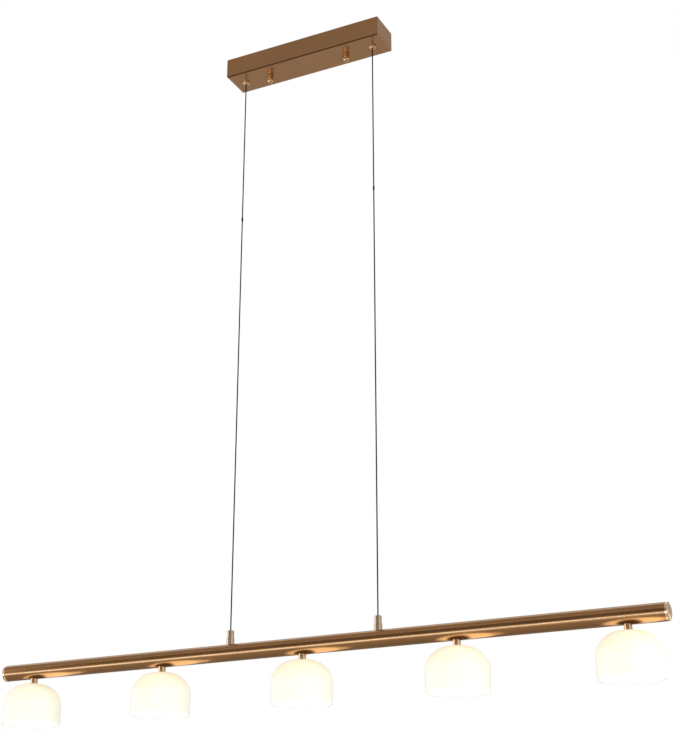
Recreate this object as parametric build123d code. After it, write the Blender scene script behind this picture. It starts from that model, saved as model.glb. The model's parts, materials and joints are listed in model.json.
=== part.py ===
from build123d import *
import math
import os

os.makedirs("parts", exist_ok=True)

# A linear island pendant: a round bar with five opal glass shades, hung level on two
# cords from a folded canopy. Millimetres, +Z up. The origin is the centre of the
# ceiling plane, so everything lies below z = 0. The bar runs along X, and left is -X.

# ---- Canopy, a folded sheet box whose rim lies on the ceiling ----
canopy_width = 62.0
canopy_height = 39.0
canopy_sheet = 1.2
canopy_bend = 2.0  # outside radius of the folds round the floor
corner_slit = 0.4  # open seam between an end wall and a long wall

# ---- Ceiling bracket, a strip whose ends step down to carry the studs ----
bracket_length = 196.0
bracket_width = 25.0
bracket_sheet = 1.8
bracket_step = 4.0  # room above the ends for the stud heads
bracket_flat = 132.0  # length that lies on the ceiling
bracket_corner = 4.0
ceiling_slot_spacing = 110.0
ceiling_slot_length = 14.0
ceiling_slot_width = 5.0
supply_hole_diameter = 12.0

# ---- Studs that carry the canopy, and their cap nuts ----
stud_spacing = 162.0
stud_diameter = 4.0
stud_head_diameter = 7.6
stud_head_height = 2.4
stud_nut_flats = 7.0
stud_nut_height = 3.2
stud_reach = 11.0  # how far a stud enters its cap nut
cap_nut_diameter = 11.6
cap_nut_barrel = 10.4
cap_nut_groove = 0.5  # depth of the groove above the domed end
cap_nut_groove_width = 1.0
cap_nut_dome = 5.6  # height of the domed end

# ---- Cords ----
cord_diameter = 2.2
cord_spacing = 270.0
cord_end_distance = 25.0  # from a cord to the end of the canopy
bar_drop = 1100.0  # canopy underside to bar axis
swing_angle = 15.0  # how far the bar swings, in degrees, each way
clip_diameter = 3.4
clip_length = 7.0
clip_drop = 298.0  # clip centre below the canopy underside

# ---- Gland and swivel ball that let a cord lean ----
gland_thread_diameter = 12.0
gland_flange_diameter = 13.8
gland_flange_height = 3.4
gland_flange_round = 1.2
gland_nut_flats = 15.0
gland_nut_height = 3.0
gland_thread_past_nut = 1.0
ball_diameter = 9.0
ball_centre_depth = 1.4  # ball centre below the canopy underside
ball_flat_above = 3.4  # flat that the stop rests on, above the ball centre
ball_flat_below = 3.9  # flat round the cord's mouth, below the ball centre
mouth_depth = 1.6  # cord's turning point, inside the mouth
stop_diameter = 3.8
stop_length = 8.0

# ---- Bar ----
bar_length = 1200.0
bar_diameter = 28.0
bar_wall = 1.2
cap_ring = 4.2  # straight part of an end cap
cap_dome = 3.2
cap_plug = 9.0  # how far an end cap enters the tube
cap_chamfer = 0.4

# ---- Stems on top of the bar that grip the cords ----
collar_diameter = 13.4
collar_height = 10.0
grip_diameter = 11.8
grip_height = 12.8
grip_round = 1.8
grip_thread_diameter = 8.0
grip_thread_length = 5.0
grip_mouth_depth = 2.0
grip_screw_diameter = 3.0
grip_screw_height = 7.6  # above the collar
grip_screw_sunk = 0.3
thread_diameter = 10.0  # hollow thread of the stems and of the lamps
thread_past_nut = 0.8
thin_nut_flats = 14.0
thin_nut_height = 3.0

# ---- Lamps: neck, opal shade, lampholder and bulb ----
lamp_count = 5
lamp_end_distance = 65.0  # last lamp's axis to the bar's end
neck_diameter = 12.2
neck_length = 7.8  # from the bar's underside to the upper washer
nipple_bore = 6.0
washer_thickness = 0.6
shade_diameter = 100.0
shade_height = 70.0
shade_glass = 3.0
shade_crown_radius = 86.0
shade_shoulder_radius = 38.0
shade_seat_diameter = 18.0
shade_hole_diameter = 10.8
shade_rim_inset = 0.6  # how much smaller the rim's radius is than the widest
shade_nut_flange = 17.0
shade_nut_flange_height = 1.2
shade_nut_height = 4.0
holder_diameter = 18.5
holder_foot_diameter = 21.0
holder_foot_height = 3.0
holder_length = 19.0
holder_thread_depth = 6.0
holder_wire_hole = 5.0
holder_wire_reach = 1.5  # how far the wires enter the wire hole
holder_wire_floor = 2.5  # ceramic between the pin slots and the wire hole
pin_spacing = 9.0
pin_width = 2.6
pin_thickness = 0.9
pin_length = 6.6
bulb_base_length = 14.0
bulb_base_width = 9.0
bulb_base_height = 8.0
bulb_base_round = 3.0
bulb_diameter = 15.0
bulb_length = 29.0
bulb_glass_wall = 1.0
bulb_core_diameter = 6.0
bulb_core_length = 20.0

# ---- Wiring ----
loom_diameter = 3.2
drop_wire_diameter = 2.6
loom_height = 3.0  # above the bar axis
tail_start_gap = 2.6  # room above a leaning stop
tail_rise_depth = 11.0  # below the ceiling, where a tail turns to the middle
tail_entry_y = 20.0  # where a tail turns into the terminal block
tail_entry_depth = 3.0
tail_points = {
    "left": [(-118, 9, -12.5), (-78, 14, -15), (-30, 17, -12), (0, 19, -10)],
    "right": [(118, 9, -12.5), (88, 15, -14), (58, 19, -10)],
}
terminal_length = 27.0
terminal_width = 14.0
terminal_base = 7.0
terminal_tower_diameter = 7.0
terminal_tower_height = 5.0
terminal_poles = 3
terminal_tower_bore = 3.6
terminal_wire_hole = 2.8
terminal_x = 31.5
terminal_lug = 3.0
terminal_screw_x = 13.0
earth_screw_x = -26.0
small_screw_diameter = 4.0
small_screw_head = 7.0
small_screw_head_height = 2.2
small_screw_slot = 0.8

# ---- Clearances ----
thread_gap = 0.05  # radial, between a thread and its hole or nut
hole_gap = 0.25  # radial, round a thread that passes a plain hole
seat_gap = 0.02  # radial, where a piece is saddled on the bar
turn_gap = 0.05  # radial, where a nut turns on a stud
ball_gap = 0.1  # radial, between a swivel ball and its seat
cord_gap = 0.3  # round a cord's rounded end
slide_gap = 0.3  # round a bulb's pins
face_gap = 0.1  # between flat faces of pieces that move on each other

# ---- Levels and places that follow from the sizes ----
floor_under = -canopy_height
floor_top = floor_under + canopy_sheet
bar_z = floor_under - bar_drop
bar_radius = bar_diameter / 2
tube_bore = bar_radius - bar_wall
tube_length = bar_length - 2 * (cap_ring + cap_dome)
cord_radius = cord_diameter / 2
ball_radius = ball_diameter / 2
ball_z = floor_under - ball_centre_depth
stop_foot_z = ball_z + ball_flat_above
stop_top_z = stop_foot_z + stop_length
cord_top_z = ball_z - ball_flat_below + mouth_depth
collar_top_z = bar_z + bar_radius + collar_height
grip_top_z = collar_top_z + grip_height
cord_foot_z = grip_top_z - grip_mouth_depth
# A thin nut inside the tube is stopped by the wall at its two flats.
nut_seat = math.sqrt(tube_bore**2 - (thin_nut_flats / 2) ** 2) - face_gap
neck_foot_z = bar_z - bar_radius - neck_length
shade_top_z = neck_foot_z - washer_thickness
lower_washer_z = shade_top_z - shade_glass
shade_nut_z = lower_washer_z - washer_thickness
holder_top_z = shade_nut_z - shade_nut_flange_height - shade_nut_height
holder_foot_z = holder_top_z - holder_length
bulb_top_z = holder_foot_z - face_gap
bulb_glass_z = bulb_top_z - bulb_base_height
stud_x = stud_spacing / 2
cord_x = cord_spacing / 2
canopy_length = cord_spacing + 2 * cord_end_distance
lamp_pitch = (bar_length - 2 * lamp_end_distance) / (lamp_count - 1)
lamp_places = [(number - (lamp_count - 1) / 2) * lamp_pitch for number in range(lamp_count)]
sides = {"left": -1, "right": 1}
UP = (Align.CENTER, Align.CENTER, Align.MIN)
DOWN = (Align.CENTER, Align.CENTER, Align.MAX)


def rod(diameter, bottom, top):
    """Stand a round rod on the Z axis, from one height to another."""
    return Pos(0, 0, bottom) * Cylinder(diameter / 2, top - bottom, align=UP)


def ring(outside, inside, bottom, top):
    """Stand a round ring on the Z axis, from one height to another."""
    return rod(outside, bottom, top) - rod(inside, bottom, top)


def hexagon(flats, bottom, top):
    """Stand a hexagonal prism on the Z axis, with two flats facing front and back."""
    corner_radius = flats / math.sqrt(3)
    return Pos(0, 0, bottom) * extrude(RegularPolygon(corner_radius, 6), top - bottom)


def along_bar(diameter, length):
    """Lay a round bar along X on the bar's own axis."""
    return Pos(0, 0, bar_z) * Rot(0, 90, 0) * Cylinder(diameter / 2, length)


def at_sides(piece, x):
    """Place a copy of a piece on each side of the middle, as separate solids."""
    return [Pos(side * x, 0, 0) * piece for side in sides.values()]


def at_lamps(piece):
    """Place a copy of a piece at every lamp, as separate solids."""
    return [Pos(x, 0, 0) * piece for x in lamp_places]


def mouth_radius(depth):
    """Give the radius that a leaning cord needs at a distance from its turning point."""
    lean = math.radians(swing_angle)
    return cord_radius / math.cos(lean) + depth * math.tan(lean) + cord_gap


def mouth(turning_z, depth, way):
    """Shape the room round a cord's rounded end, opening up (+1) or down (-1)."""
    room = Sphere(cord_radius + cord_gap)
    cone = Cone(cord_radius + cord_gap, mouth_radius(depth), depth, align=UP)
    if way < 0:
        cone = Rot(180, 0, 0) * cone
    return Pos(0, 0, turning_z) * (room + cone)


# ---- Canopy and what it hangs on ----
def make_canopy():
    """Fold the canopy: a floor, two long walls and two end walls with open corner seams."""
    shell = Pos(0, 0, floor_under) * Box(canopy_length, canopy_width, canopy_height, align=UP)
    shell = fillet(shell.faces().sort_by(Axis.Z)[0].edges(), canopy_bend)
    inner_length, inner_width = canopy_length - 2 * canopy_sheet, canopy_width - 2 * canopy_sheet
    inside = Pos(0, 0, floor_top) * Box(inner_length, inner_width, canopy_height, align=UP)
    shell -= fillet(inside.faces().sort_by(Axis.Z)[0].edges(), canopy_bend - canopy_sheet)
    slit = Box(corner_slit, canopy_width, canopy_height, align=UP)
    slit -= Box(corner_slit, inner_width, canopy_height, align=UP)
    slit_x = canopy_length / 2 - canopy_sheet - corner_slit / 2
    slit_z = floor_under + canopy_bend
    stud_hole = rod(stud_diameter + 2 * hole_gap, floor_under, floor_top)
    gland_hole = rod(gland_thread_diameter + 2 * thread_gap, floor_under, floor_top)
    for side in sides.values():
        shell -= Pos(side * slit_x, 0, slit_z) * slit
        shell -= Pos(side * stud_x, 0, 0) * stud_hole
        shell -= Pos(side * cord_x, 0, 0) * gland_hole
    return shell


def make_bracket():
    """Fold the strip that is screwed to the ceiling, with its ends stepped down."""
    end, flat = bracket_length / 2, bracket_flat / 2
    shift = bracket_sheet * math.tan(math.pi / 8)
    step_foot = flat + bracket_step
    under = bracket_step + bracket_sheet
    half = [(flat, 0), (step_foot, -bracket_step), (end, -bracket_step)]
    half += [(end, -under), (step_foot - shift, -under), (flat - shift, -bracket_sheet)]
    outline = half + [(-x, z) for x, z in reversed(half)]
    section = make_face(Polyline(*[(x, 0, z) for x, z in outline], close=True))
    strip = extrude(section, bracket_width / 2, dir=(0, 1, 0), both=True)
    strip = fillet(strip.edges().filter_by(Axis.Z), bracket_corner)
    slot = extrude(SlotOverall(ceiling_slot_length, ceiling_slot_width), bracket_sheet, both=True)
    stud_hole = rod(stud_diameter + 2 * thread_gap, -under, 0)
    for side in sides.values():
        strip -= Pos(side * ceiling_slot_spacing / 2, 0, 0) * slot
        strip -= Pos(side * stud_x, 0, 0) * stud_hole
    strip -= rod(supply_hole_diameter, -bracket_sheet, 0)
    screw_hole = rod(small_screw_diameter + 2 * thread_gap, -bracket_sheet, 0)
    for x in (earth_screw_x, terminal_screw_x):
        strip -= Pos(x, 0, 0) * screw_hole
    return strip


def make_stud():
    """Make a pan-head stud that hangs from the bracket's end into a cap nut."""
    head_top = stud_head_height - bracket_step
    head = rod(stud_head_diameter, -bracket_step, head_top)
    head = fillet(head.edges().sort_by(Axis.Z)[-1], stud_head_height / 2)
    stud = head + rod(stud_diameter, floor_under - stud_reach, -bracket_step)
    return chamfer(stud.edges().sort_by(Axis.Z)[0], stud_diameter / 8)


def make_stud_nut():
    """Make the plain nut that locks a stud to the bracket."""
    top = -bracket_step - bracket_sheet
    nut = hexagon(stud_nut_flats, top - stud_nut_height, top)
    return nut - rod(stud_diameter + 2 * thread_gap, top - stud_nut_height, top)


def make_cap_nut():
    """Turn a long cap nut: a barrel, a groove and a domed end, with a blind thread."""
    top = floor_under - face_gap
    barrel_foot = top - cap_nut_barrel
    dome_top = barrel_foot - cap_nut_groove_width
    nut = rod(cap_nut_diameter, barrel_foot, top)
    nut = chamfer(nut.edges().sort_by(Axis.Z)[-1], cap_nut_groove)
    nut += rod(cap_nut_diameter - 2 * cap_nut_groove, dome_top, barrel_foot)
    dome = rod(cap_nut_diameter, dome_top - cap_nut_dome, dome_top)
    nut += fillet(dome.edges().sort_by(Axis.Z)[0], min(cap_nut_dome, cap_nut_diameter / 2) - face_gap)
    thread_end = floor_under - stud_reach - face_gap * 5
    return nut - rod(stud_diameter + 2 * turn_gap, thread_end, top)


def make_gland():
    """Turn a gland: a hollow thread through the canopy floor and a flange with a ball seat."""
    flange_foot = floor_under - gland_flange_height
    thread_top = floor_top + gland_nut_height + gland_thread_past_nut
    flange = rod(gland_flange_diameter, flange_foot, floor_under)
    flange = fillet(flange.edges().sort_by(Axis.Z)[0], gland_flange_round)
    gland = flange + rod(gland_thread_diameter, floor_under, thread_top)
    gland -= Pos(0, 0, ball_z) * Sphere(ball_radius + ball_gap)
    return gland - rod(ball_diameter + 2 * ball_gap, ball_z, thread_top)


def make_gland_nut():
    """Make the hexagonal nut that holds a gland from inside the canopy."""
    nut = hexagon(gland_nut_flats, floor_top, floor_top + gland_nut_height)
    return nut - rod(gland_thread_diameter + 2 * thread_gap, floor_top, floor_top + gland_nut_height)


def make_swivel_ball():
    """Turn the ball that leans in the gland, with a flared mouth below for the cord."""
    ball = Pos(0, 0, ball_z) * Sphere(ball_radius)
    ball &= rod(ball_diameter, ball_z - ball_flat_below, stop_foot_z)
    ball -= rod(cord_diameter + 2 * thread_gap, cord_top_z, stop_foot_z)
    return ball - mouth(cord_top_z, mouth_depth, -1)


def make_cord_stop():
    """Make the ferrule on the ball, crimped on the end of the cord that passes the ball."""
    ferrule = rod(stop_diameter, stop_foot_z, stop_top_z)
    ferrule = chamfer(ferrule.edges().sort_by(Axis.Z)[-1], stop_diameter / 8)
    return ferrule + rod(cord_diameter, cord_top_z + cord_radius + cord_gap, stop_foot_z)


# ---- Cords ----
def make_cord():
    """Make one hanging cord, straight, with a rounded end at each turning point."""
    cord = rod(cord_diameter, cord_foot_z, cord_top_z)
    return cord + Pos(0, 0, cord_top_z) * Sphere(cord_radius) + Pos(0, 0, cord_foot_z) * Sphere(cord_radius)


def make_cord_clip():
    """Make the small sleeve that is clipped round a cord."""
    middle = floor_under - clip_drop
    low, high = middle - clip_length / 2, middle + clip_length / 2
    sleeve = rod(clip_diameter, low, high)
    sleeve = chamfer(sleeve.edges().filter_by(GeomType.CIRCLE), clip_diameter / 8)
    return sleeve - rod(cord_diameter + 2 * seat_gap, low, high)


def make_cord_tail(side):
    """Lead a cord's tail from above its stop to a pole of the terminal block, clear of the studs."""
    x = sides[side] * cord_x
    entry_x = terminal_x + sides[side] * terminal_length / terminal_poles
    wire_z = -bracket_sheet - terminal_base / 2
    points = [(x, 0, stop_top_z + tail_start_gap), (x, 0, -tail_rise_depth)]
    points += tail_points[side]
    points += [(entry_x, tail_entry_y, wire_z), (entry_x, terminal_width / 2 - tail_entry_depth, wire_z)]
    radii = bend_radii(points)
    print(side, "tail radii", [round(radius, 1) for radius in radii])
    path = FilletPolyline(*points, radius=radii)
    start = Plane(origin=points[0], z_dir=(0, 0, 1))
    tail = sweep(start * Circle(cord_radius), path=path)
    print("tail volume", round(tail.volume), "section x length", round(path.length * math.pi * cord_radius**2))
    return tail


def bend_radii(points):
    """Give each corner the arc that uses 0.45 of its shorter run."""
    runs = [Vector(*b) - Vector(*a) for a, b in zip(points, points[1:])]
    radii = []
    for before, after in zip(runs, runs[1:]):
        half_turn = math.radians(before.get_angle(after)) / 2
        radii.append(0.45 * min(before.length, after.length) / math.tan(half_turn))
    return radii


def make_terminal_block():
    """Mould the terminal block: a base with a wire hole and a screw tower at each pole."""
    pole_pitch = terminal_length / terminal_poles
    base_foot = -bracket_sheet - terminal_base
    tower_foot = base_foot - terminal_tower_height
    block = Pos(0, 0, -bracket_sheet) * Box(terminal_length, terminal_width, terminal_base, align=DOWN)
    lug_x = terminal_screw_x - terminal_x
    lug_length = -terminal_length / 2 - lug_x + small_screw_head / 2
    lug = Box(lug_length, small_screw_head, terminal_lug, align=DOWN)
    block += Pos(-(terminal_length + lug_length) / 2, 0, -bracket_sheet) * lug
    block -= Pos(lug_x, 0, 0) * rod(small_screw_diameter + 2 * thread_gap, -bracket_sheet - terminal_lug, 0)
    wire_hole = Rot(90, 0, 0) * Cylinder(terminal_wire_hole / 2, terminal_width)
    for pole in range(terminal_poles):
        x = (pole - (terminal_poles - 1) / 2) * pole_pitch
        tower = ring(terminal_tower_diameter, terminal_tower_bore, tower_foot, base_foot)
        block += Pos(x, 0, 0) * tower
        block -= Pos(x, 0, -bracket_sheet - terminal_base / 2) * wire_hole
    return Pos(terminal_x, 0, 0) * block


def make_bracket_screw(x, head_top):
    """Make a pan-head screw that enters the bracket from below, its head at a given height."""
    head = rod(small_screw_head, head_top - small_screw_head_height, head_top)
    head = fillet(head.edges().sort_by(Axis.Z)[0], small_screw_head_height / 2)
    slot = Box(small_screw_head, small_screw_slot, small_screw_slot, align=UP)
    head -= Pos(0, 0, head_top - small_screw_head_height) * slot
    return Pos(x, 0, 0) * (head + rod(small_screw_diameter, head_top, -face_gap))


# ---- Bar and the stems on it ----
def make_tube():
    """Cut the tube to length and drill it for the stems above and the lamps below."""
    tube = along_bar(bar_diameter, tube_length)
    tube = chamfer(tube.edges().filter_by(GeomType.CIRCLE), cap_chamfer)
    tube -= along_bar(2 * tube_bore, tube_length)
    hole = thread_diameter + 2 * thread_gap
    for side in sides.values():
        tube -= Pos(side * cord_x, 0, 0) * rod(hole, bar_z, bar_z + bar_diameter)
    for x in lamp_places:
        tube -= Pos(x, 0, 0) * rod(hole, bar_z - bar_diameter, bar_z)
    return tube


def make_end_cap(side):
    """Turn an end cap: a plug inside the tube, a ring as wide as the tube and a low dome."""
    dome_radius = (bar_radius**2 + cap_dome**2) / (2 * cap_dome)
    plug = rod(2 * (tube_bore - thread_gap), -cap_plug, 0)
    plug = chamfer(plug.edges().sort_by(Axis.Z)[0], cap_chamfer)
    collar = rod(bar_diameter, 0, cap_ring)
    collar = chamfer(collar.edges().sort_by(Axis.Z)[0], cap_chamfer)
    dome = Pos(0, 0, cap_ring + cap_dome - dome_radius) * Sphere(dome_radius)
    dome &= rod(bar_diameter, cap_ring, cap_ring + cap_dome)
    cap = plug + collar + dome
    return Pos(side * tube_length / 2, 0, bar_z) * Rot(0, side * 90, 0) * cap


def make_stem_base():
    """Turn a stem base: a collar saddled on the bar, threaded below and above, bored for the cord."""
    thread_foot = bar_z + nut_seat - thin_nut_height - thread_past_nut
    collar = rod(collar_diameter, bar_z, collar_top_z)
    collar = chamfer(collar.edges().sort_by(Axis.Z)[-1], cap_chamfer)
    collar -= along_bar(bar_diameter + 2 * seat_gap, 2 * collar_diameter)
    base = collar + rod(thread_diameter, thread_foot, bar_z + bar_radius + seat_gap * 2)
    base += rod(grip_thread_diameter, collar_top_z, collar_top_z + grip_thread_length)
    return base - rod(cord_diameter + 2 * hole_gap, thread_foot, collar_top_z + grip_thread_length)


def make_cord_grip():
    """Turn a cord grip: a round cap on the stem base, with a flared mouth and a side screw hole."""
    grip = rod(grip_diameter, collar_top_z, grip_top_z)
    grip = fillet(grip.edges().sort_by(Axis.Z)[-1], grip_round)
    thread_room = collar_top_z + grip_thread_length + face_gap
    grip -= rod(grip_thread_diameter + 2 * thread_gap, collar_top_z, thread_room)
    grip -= rod(cord_diameter + 2 * thread_gap, collar_top_z, cord_foot_z)
    grip -= mouth(cord_foot_z, grip_mouth_depth, 1)
    side_hole = Rot(-90, 0, 0) * rod(grip_screw_diameter + 2 * thread_gap, 0, grip_diameter)
    return grip - Pos(0, 0, collar_top_z + grip_screw_height) * side_hole


def make_grip_screw():
    """Make the headless screw in the back of a grip that presses on the cord."""
    tip, back = cord_radius + thread_gap, grip_diameter / 2 - grip_screw_sunk
    screw = rod(grip_screw_diameter, tip, back)
    screw -= hexagon(grip_screw_diameter / 2, back - grip_screw_diameter / 2, back)
    return Pos(0, 0, collar_top_z + grip_screw_height) * Rot(-90, 0, 0) * screw


def make_thin_nuts():
    """Make the thin nuts inside the tube: one under each stem and one over each lamp."""
    nut = hexagon(thin_nut_flats, nut_seat - thin_nut_height, nut_seat)
    nut -= rod(thread_diameter + 2 * thread_gap, nut_seat - thin_nut_height, nut_seat)
    stem_nut = Pos(0, 0, bar_z) * nut
    lamp_nut = Pos(0, 0, bar_z) * Rot(180, 0, 0) * nut
    return at_sides(stem_nut, cord_x) + at_lamps(lamp_nut)


def make_loom():
    """Lay the wiring inside the bar: a lead from each cord, a long run and a drop at each lamp."""
    run_z = bar_z + loom_height
    run = Pos(0, 0, run_z) * Rot(0, 90, 0) * Cylinder(loom_diameter / 2, lamp_places[-1] - lamp_places[0])
    lead = rod(cord_diameter, run_z, cord_foot_z - cord_radius - cord_gap)
    drop = rod(drop_wire_diameter, holder_top_z - holder_thread_depth - holder_wire_reach, run_z)
    for branch in at_sides(lead, cord_x) + at_lamps(drop):
        run += branch
    return run


# ---- Lamps ----
def make_nipple():
    """Make the hollow thread that runs from the nut in the bar to the lampholder."""
    top = bar_z - nut_seat + thin_nut_height + thread_past_nut
    return ring(thread_diameter, nipple_bore, holder_top_z - holder_thread_depth + face_gap, top)


def make_neck():
    """Turn the short neck between the bar and a shade, saddled on the bar."""
    neck = rod(neck_diameter, neck_foot_z, bar_z)
    neck = fillet(neck.edges().sort_by(Axis.Z)[0], cap_chamfer)
    neck -= along_bar(bar_diameter + 2 * seat_gap, 2 * neck_diameter)
    return neck - rod(thread_diameter + 2 * thread_gap, neck_foot_z, bar_z)


def make_washers():
    """Make the soft washers on both faces of a shade's glass."""
    inside = thread_diameter + 2 * hole_gap
    upper = ring(neck_diameter - 2 * hole_gap, inside, shade_top_z, neck_foot_z)
    lower = ring(shade_nut_flange, inside, shade_nut_z, lower_washer_z)
    return upper, lower


def shade_edge(offset):
    """Draw one face of the glass in section, from the seat to the rim, at a depth inside the outer face."""
    seat, wide = shade_seat_diameter / 2, shade_diameter / 2
    crown, shoulder = shade_crown_radius, shade_shoulder_radius
    crown_z = shade_top_z - math.sqrt(crown**2 - seat**2)
    centre_x = wide - shoulder
    centre_z = crown_z + math.sqrt((crown - shoulder) ** 2 - centre_x**2)
    meet = math.atan2(centre_z - crown_z, centre_x)
    flat_z = shade_top_z - offset
    crown_now, shoulder_now = crown - offset, shoulder - offset
    flat_x = math.sqrt(crown_now**2 - (flat_z - crown_z) ** 2)
    meet_x, meet_z = crown_now * math.cos(meet), crown_z + crown_now * math.sin(meet)
    half = (math.atan2(flat_z - crown_z, flat_x) + meet) / 2
    crown_mid = (crown_now * math.cos(half), 0, crown_z + crown_now * math.sin(half))
    shoulder_x = centre_x + shoulder_now * math.cos(meet / 2)
    shoulder_mid = (shoulder_x, 0, centre_z + shoulder_now * math.sin(meet / 2))
    rim_z = shade_top_z - shade_height + shade_glass / 2
    wall_top = (wide - offset, 0, centre_z)
    return [
        Line((shade_hole_diameter / 2, 0, flat_z), (flat_x, 0, flat_z)),
        ThreePointArc((flat_x, 0, flat_z), crown_mid, (meet_x, 0, meet_z)),
        ThreePointArc((meet_x, 0, meet_z), shoulder_mid, wall_top),
        Line(wall_top, (wide - offset - shade_rim_inset, 0, rim_z)),
    ]


def make_shade():
    """Turn an opal glass shade: a flat seat, a low crown, a round shoulder and a fire-rounded rim."""
    outer, inner = shade_edge(0), shade_edge(shade_glass)
    rim_outer, rim_inner = outer[-1] @ 1, inner[-1] @ 1
    rim_x = (rim_outer.X + rim_inner.X) / 2
    rim = ThreePointArc(rim_outer, (rim_x, 0, rim_outer.Z - shade_glass / 2), rim_inner)
    hole = Line(outer[0] @ 0, inner[0] @ 0)
    return revolve(make_face([*outer, *inner, rim, hole]), Axis.Z)


def make_shade_nut():
    """Make the flanged nut that holds a shade up against its neck."""
    hex_top = shade_nut_z - shade_nut_flange_height
    nut = rod(shade_nut_flange, hex_top, shade_nut_z) + hexagon(thin_nut_flats, holder_top_z, hex_top)
    return nut - rod(thread_diameter + 2 * thread_gap, holder_top_z, shade_nut_z)


def make_lampholder():
    """Mould a ceramic lampholder: a threaded top, a wire hole, a wider foot and two pin slots."""
    foot_top = holder_foot_z + holder_foot_height
    body = rod(holder_diameter, holder_foot_z, holder_top_z)
    body = chamfer(body.edges().sort_by(Axis.Z)[-1], cap_chamfer)
    foot = rod(holder_foot_diameter, holder_foot_z, foot_top)
    body += chamfer(foot.edges().sort_by(Axis.Z)[-1], cap_chamfer)
    thread_end = holder_top_z - holder_thread_depth
    body -= rod(thread_diameter + 2 * thread_gap, thread_end, holder_top_z)
    body -= rod(holder_wire_hole, holder_foot_z + pin_length + holder_wire_floor, thread_end)
    slot_width, slot_thickness = pin_width + 2 * slide_gap, pin_thickness + 2 * slide_gap
    slot = Box(slot_width, slot_thickness, pin_length + slide_gap, align=UP)
    for side in sides.values():
        body -= Pos(side * pin_spacing / 2, 0, holder_foot_z) * slot
    return body


def make_bulb_base():
    """Make a bulb's base: a block with two flat pins above and a light core below."""
    block = Box(bulb_base_length, bulb_base_width, bulb_base_height, align=DOWN)
    block = fillet(block.edges().filter_by(Axis.Z), bulb_base_round)
    pin = Box(pin_width, pin_thickness, pin_length, align=UP)
    pin = fillet(pin.edges().filter_by(Axis.Y).group_by(Axis.Z)[-1], pin_width / 2 - face_gap)
    for side in sides.values():
        block += Pos(side * pin_spacing / 2, 0, 0) * pin
    block = Pos(0, 0, bulb_top_z) * block
    return block + rod(bulb_core_diameter, bulb_glass_z - bulb_core_length, bulb_glass_z)


def capsule(diameter, foot, top):
    """Stand a round-ended capsule on the Z axis, its dome down."""
    return rod(diameter, foot + diameter / 2, top) + Pos(0, 0, foot + diameter / 2) * Sphere(diameter / 2)


def make_bulb_glass():
    """Blow a bulb's glass: a thin capsule, closed above round the light core."""
    foot = bulb_glass_z - bulb_length
    glass = capsule(bulb_diameter, foot, bulb_glass_z)
    inside = bulb_diameter - 2 * bulb_glass_wall
    glass -= capsule(inside, foot + bulb_glass_wall, bulb_glass_z - bulb_glass_wall)
    return glass - rod(bulb_core_diameter + 2 * thread_gap, bulb_glass_z - bulb_glass_wall, bulb_glass_z)


# ---- The pieces, one node each ----
nodes = {
    "ceiling_bracket": [make_bracket()],
    "bracket_studs": at_sides(make_stud(), stud_x),
    "stud_nuts": at_sides(make_stud_nut(), stud_x),
    "canopy": [make_canopy()],
    "gland_nuts": at_sides(make_gland_nut(), cord_x),
    "terminal_block": [make_terminal_block()],
    "bracket_screws": [
        make_bracket_screw(earth_screw_x, -bracket_sheet),
        make_bracket_screw(terminal_screw_x, -bracket_sheet - terminal_lug),
    ],
    "bar_tube": [make_tube()],
    "grip_screws": at_sides(make_grip_screw(), cord_x),
    "thin_nuts": make_thin_nuts(),
    "wiring_loom": [make_loom()],
    "lamp_nipples": at_lamps(make_nipple()),
    "shade_nuts": at_lamps(make_shade_nut()),
    "shade_washers": [washer for ring_shape in make_washers() for washer in at_lamps(ring_shape)],
}
for side, sign in sides.items():
    nodes[f"cap_nut_{side}"] = [Pos(sign * stud_x, 0, 0) * make_cap_nut()]
    nodes[f"cord_tail_{side}"] = [make_cord_tail(side)]
    nodes[f"end_cap_{side}"] = [make_end_cap(sign)]
    at_cord = Pos(sign * cord_x, 0, 0)
    nodes[f"cord_gland_{side}"] = [at_cord * make_gland()]
    nodes[f"swivel_ball_{side}"] = [at_cord * make_swivel_ball()]
    nodes[f"cord_stop_{side}"] = [at_cord * make_cord_stop()]
    nodes[f"cord_{side}"] = [at_cord * make_cord()]
    nodes[f"cord_clip_{side}"] = [at_cord * make_cord_clip()]
    nodes[f"stem_base_{side}"] = [at_cord * make_stem_base()]
    nodes[f"cord_grip_{side}"] = [at_cord * make_cord_grip()]
for number, x in enumerate(lamp_places, start=1):
    at_lamp = Pos(x, 0, 0)
    nodes[f"neck_{number}"] = [at_lamp * make_neck()]
    nodes[f"shade_{number}"] = [at_lamp * make_shade()]
    nodes[f"lampholder_{number}"] = [at_lamp * make_lampholder()]
    nodes[f"bulb_base_{number}"] = [at_lamp * make_bulb_base()]
    nodes[f"bulb_glass_{number}"] = [at_lamp * make_bulb_glass()]

for name, solids in nodes.items():
    shape = solids[0] if len(solids) == 1 else Compound(children=solids)
    export_step(shape, f"parts/{name}.step")
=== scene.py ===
"""Dress a linear island pendant: a brushed bar, five opal shades, two cords and a folded canopy."""

from __future__ import annotations

import json
import logging
import math
from dataclasses import dataclass, field
from enum import Enum
from typing import Any, Callable, Sequence

import bmesh
import bpy
from mathutils import Matrix, Vector

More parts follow.
